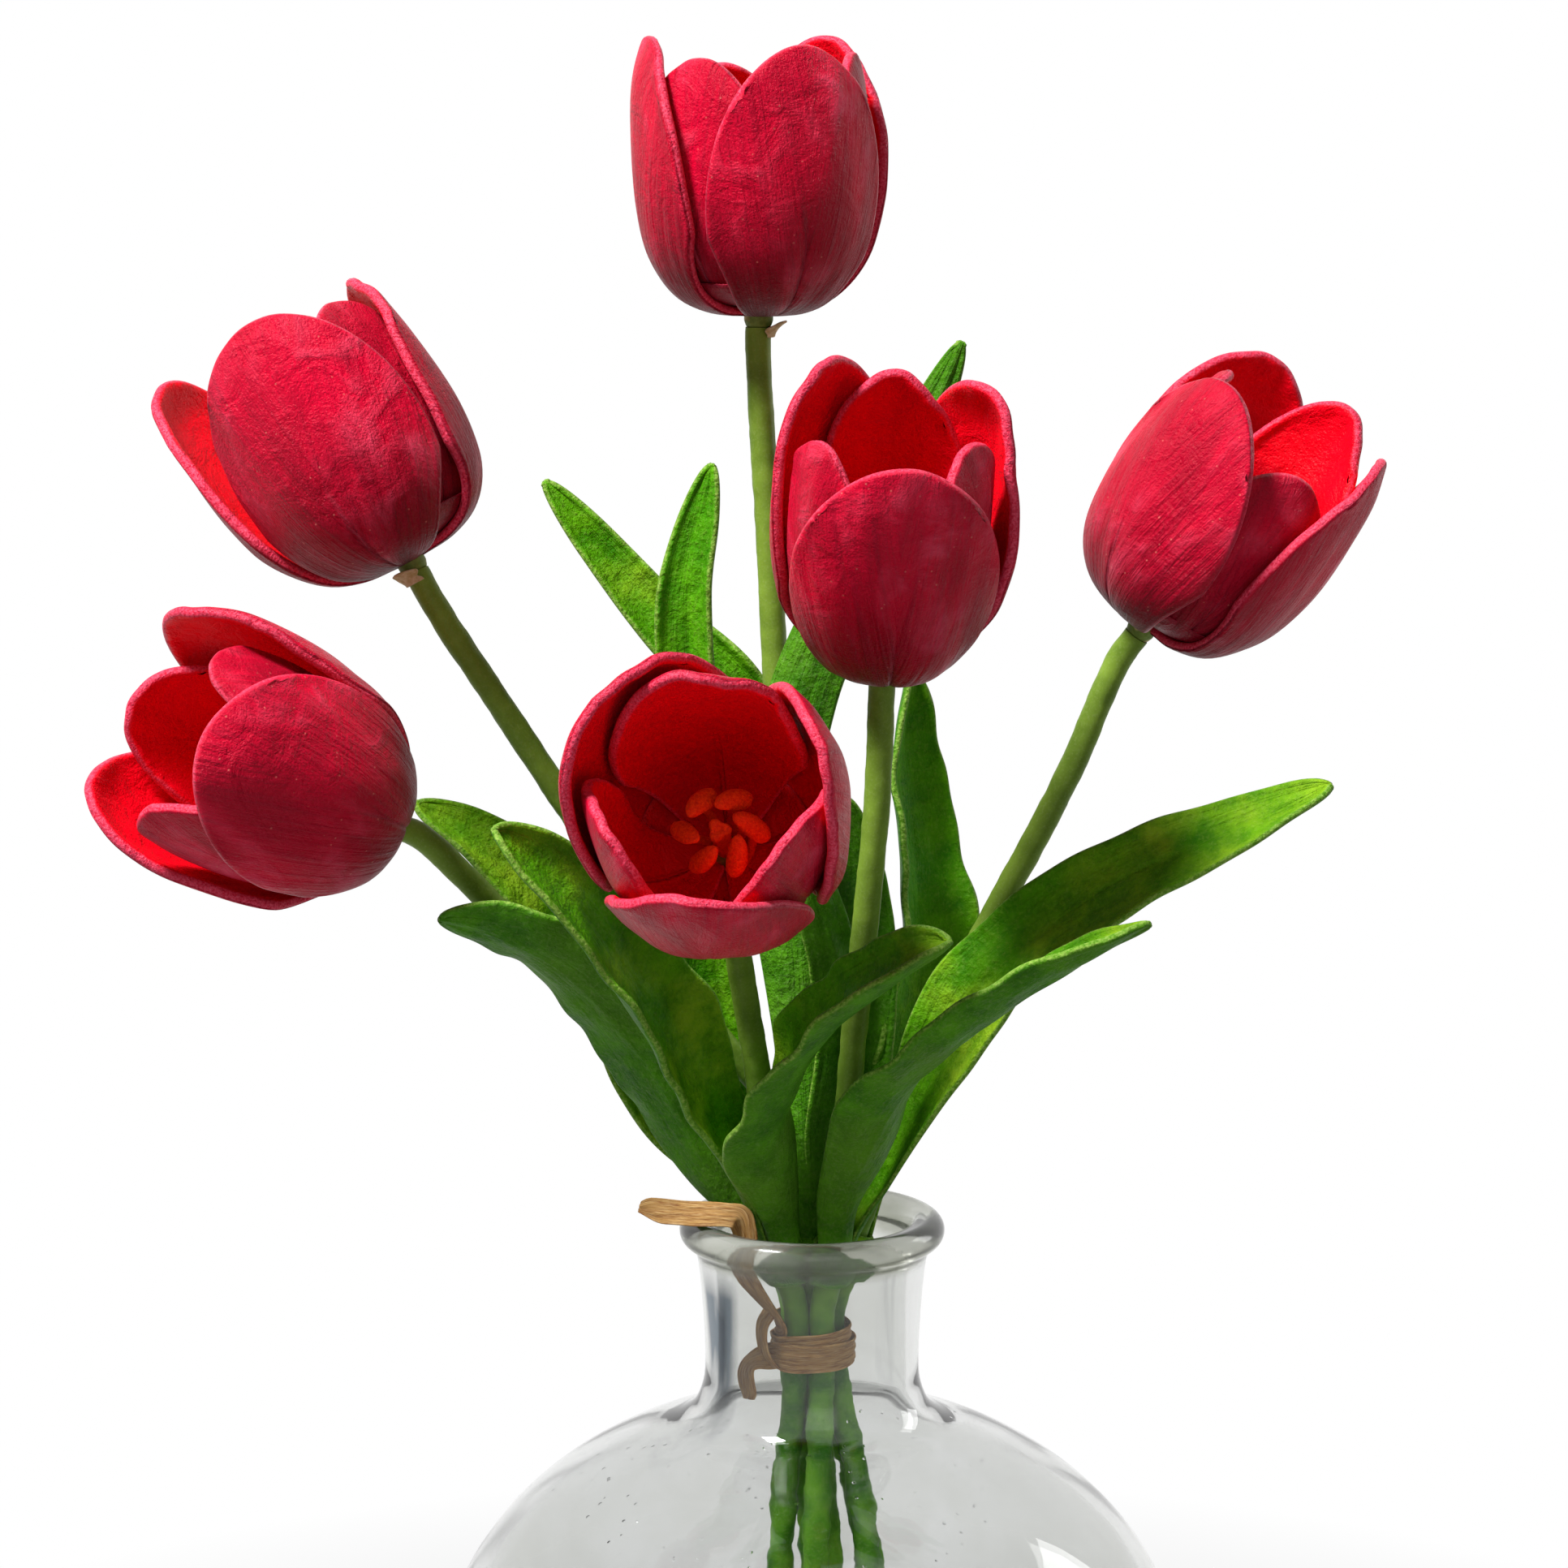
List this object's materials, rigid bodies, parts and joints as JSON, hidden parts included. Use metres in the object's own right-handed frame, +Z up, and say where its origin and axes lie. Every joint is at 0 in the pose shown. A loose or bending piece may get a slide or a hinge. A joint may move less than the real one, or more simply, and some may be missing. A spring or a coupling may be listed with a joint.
{
  "type": "artificial tulip bouquet in a bottle vase",
  "caption": "Round clear glass bottle vase holding a raffia-tied bunch of artificial red tulips that lifts out, each flower head turning on its stem.",
  "frame": {"origin": "middle of the bottle's flat base, on the surface that it stands on", "axes": "+Z up, the pictured front faces -Y, +X to the right of the picture"},
  "size_m": [0.2265, 0.1571, 0.3413],
  "materials": {
    "clear_glass": "clear, smooth, faintly grey in the thick lip",
    "raffia": "dry flat plant fibre, matt with lengthwise streaks",
    "stem_green": "matt green over a wire",
    "leaf_green": "soft foam sheet, satin with a fine grain",
    "petal_red": "soft foam, satin with fine lengthwise wrinkles",
    "flower_core": "matt orange-red stamens on a pale plug"
  },
  "bodies": {
    "bottle": {"glass_bottle": "clear_glass"},
    "bunch": {"raffia_tie": "raffia", "stem_top": "stem_green", "leaves_top": "leaf_green", "stem_upper_left": "stem_green", "leaves_upper_left": "leaf_green", "stem_right": "stem_green", "leaves_right": "leaf_green", "stem_centre": "stem_green", "leaves_centre": "leaf_green", "stem_front": "stem_green", "leaves_front": "leaf_green", "stem_lower_left": "stem_green", "leaves_lower_left": "leaf_green"},
    "head_top": {"core_top": "flower_core", "petal_top_outer_1": "petal_red", "petal_top_outer_2": "petal_red", "petal_top_outer_3": "petal_red", "petal_top_inner_1": "petal_red", "petal_top_inner_2": "petal_red", "petal_top_inner_3": "petal_red"},
    "head_upper_left": {"core_upper_left": "flower_core", "petal_upper_left_outer_1": "petal_red", "petal_upper_left_outer_2": "petal_red", "petal_upper_left_outer_3": "petal_red", "petal_upper_left_inner_1": "petal_red", "petal_upper_left_inner_2": "petal_red", "petal_upper_left_inner_3": "petal_red"},
    "head_right": {"core_right": "flower_core", "petal_right_outer_1": "petal_red", "petal_right_outer_2": "petal_red", "petal_right_outer_3": "petal_red", "petal_right_inner_1": "petal_red", "petal_right_inner_2": "petal_red", "petal_right_inner_3": "petal_red"},
    "head_centre": {"core_centre": "flower_core", "petal_centre_outer_1": "petal_red", "petal_centre_outer_2": "petal_red", "petal_centre_outer_3": "petal_red", "petal_centre_inner_1": "petal_red", "petal_centre_inner_2": "petal_red", "petal_centre_inner_3": "petal_red"},
    "head_front": {"core_front": "flower_core", "petal_front_outer_1": "petal_red", "petal_front_outer_2": "petal_red", "petal_front_outer_3": "petal_red", "petal_front_inner_1": "petal_red", "petal_front_inner_2": "petal_red", "petal_front_inner_3": "petal_red"},
    "head_lower_left": {"core_lower_left": "flower_core", "petal_lower_left_outer_1": "petal_red", "petal_lower_left_outer_2": "petal_red", "petal_lower_left_outer_3": "petal_red", "petal_lower_left_inner_1": "petal_red", "petal_lower_left_inner_2": "petal_red", "petal_lower_left_inner_3": "petal_red"}
  },
  "joints": [
    {"name": "bunch_lift", "type": "slide", "parent": "bottle", "child": "bunch", "axis": [0, 0, 1], "range_m": [0, 0.135]},
    {"name": "top_head_swivel", "type": "hinge", "parent": "bunch", "child": "head_top", "pos_m": [-0.0096, 0.015, 0.292], "axis": [0, 0, 1], "continuous": true},
    {"name": "upper_left_head_swivel", "type": "hinge", "parent": "bunch", "child": "head_upper_left", "pos_m": [-0.071, 0, 0.2496], "axis": [-0.4738, 0.0806, 0.877], "continuous": true},
    {"name": "right_head_swivel", "type": "hinge", "parent": "bunch", "child": "head_right", "pos_m": [0.0589, 0.005, 0.2374], "axis": [0.553, -0.1206, 0.8244], "continuous": true},
    {"name": "centre_head_swivel", "type": "hinge", "parent": "bunch", "child": "head_centre", "pos_m": [0.012, -0.025, 0.2355], "axis": [0.0299, -0.4189, 0.9076], "continuous": true},
    {"name": "front_head_swivel", "type": "hinge", "parent": "bunch", "child": "head_front", "pos_m": [-0.0145, -0.035, 0.203], "axis": [-0.0899, -0.8987, 0.4294], "continuous": true},
    {"name": "lower_left_head_swivel", "type": "hinge", "parent": "bunch", "child": "head_lower_left", "pos_m": [-0.075, -0.015, 0.2055], "axis": [-0.7697, -0.476, 0.4254], "continuous": true}
  ]
}
